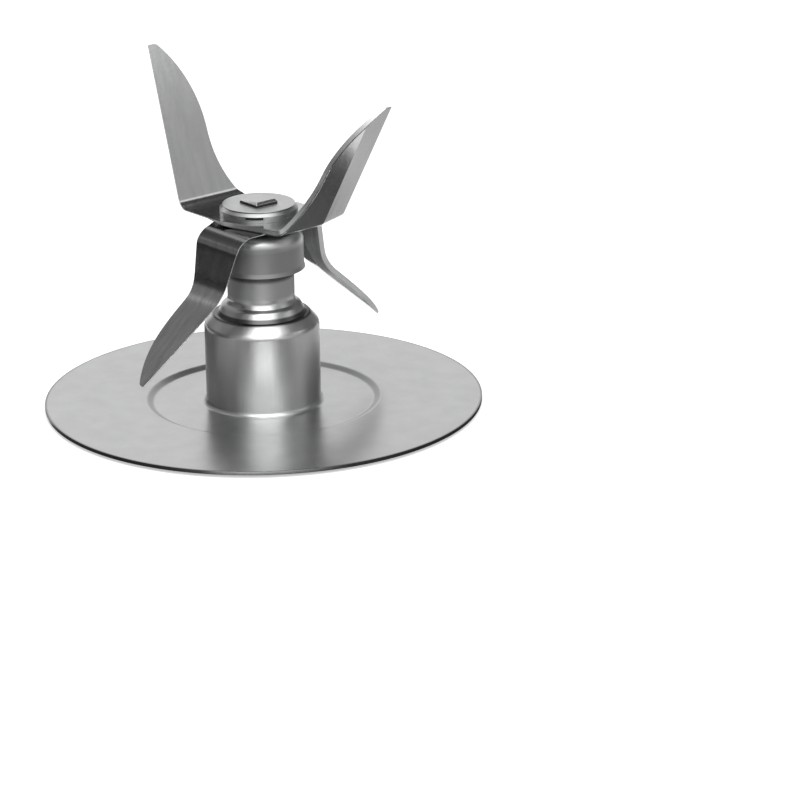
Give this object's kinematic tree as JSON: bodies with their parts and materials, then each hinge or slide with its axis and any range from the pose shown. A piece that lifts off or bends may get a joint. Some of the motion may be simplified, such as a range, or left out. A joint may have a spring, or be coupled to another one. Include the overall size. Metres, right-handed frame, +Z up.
{
  "type": "blender blade assembly",
  "caption": "Blender jar blade unit: a flat round steel base with a stepped hub carries a spinning shaft, a slinger cap and crossed blades bent up and down.",
  "frame": {"origin": "on the spin axis, in the plane of the base's recessed floor, its lowest face", "axes": "+Z up along the spin axis from the base to the blades; +X to the right in the picture's view"},
  "size_m": [0.061, 0.061, 0.0493],
  "materials": {
    "disc_steel": "drawn stainless sheet, satin with bright bends",
    "blade_steel": "stamped stainless strip, fine lengthwise grain, ground edges",
    "cap_steel": "drawn stainless cup, satin",
    "washer_steel": "turned stainless, satin",
    "shaft_steel": "ground stainless bar",
    "socket_steel": "machined steel, dull",
    "retainer_steel": "pressed steel ring",
    "bush_bronze": "oiled sintered bronze",
    "felt": "oil-soaked wool felt",
    "seal_rubber": "moulded black rubber",
    "thrust_plastic": "natural nylon"
  },
  "bodies": {
    "base": {"base_flange": "disc_steel", "upper_bush": "bush_bronze", "lower_bush": "bush_bronze", "oil_felt": "felt", "shaft_seal": "seal_rubber", "upper_thrust_washer": "thrust_plastic", "lower_thrust_washer": "thrust_plastic", "bush_retainer": "retainer_steel"},
    "rotor": {"drive_shaft": "shaft_steel", "drive_socket": "socket_steel", "slinger_cap": "cap_steel", "lower_blade": "blade_steel", "upper_blade": "blade_steel", "spacer_washer": "washer_steel", "top_washer": "washer_steel"}
  },
  "joints": [
    {"name": "blade_spin", "type": "hinge", "parent": "base", "child": "rotor", "pos_m": [0, 0, 0], "axis": [0, 0, 1], "continuous": true}
  ]
}
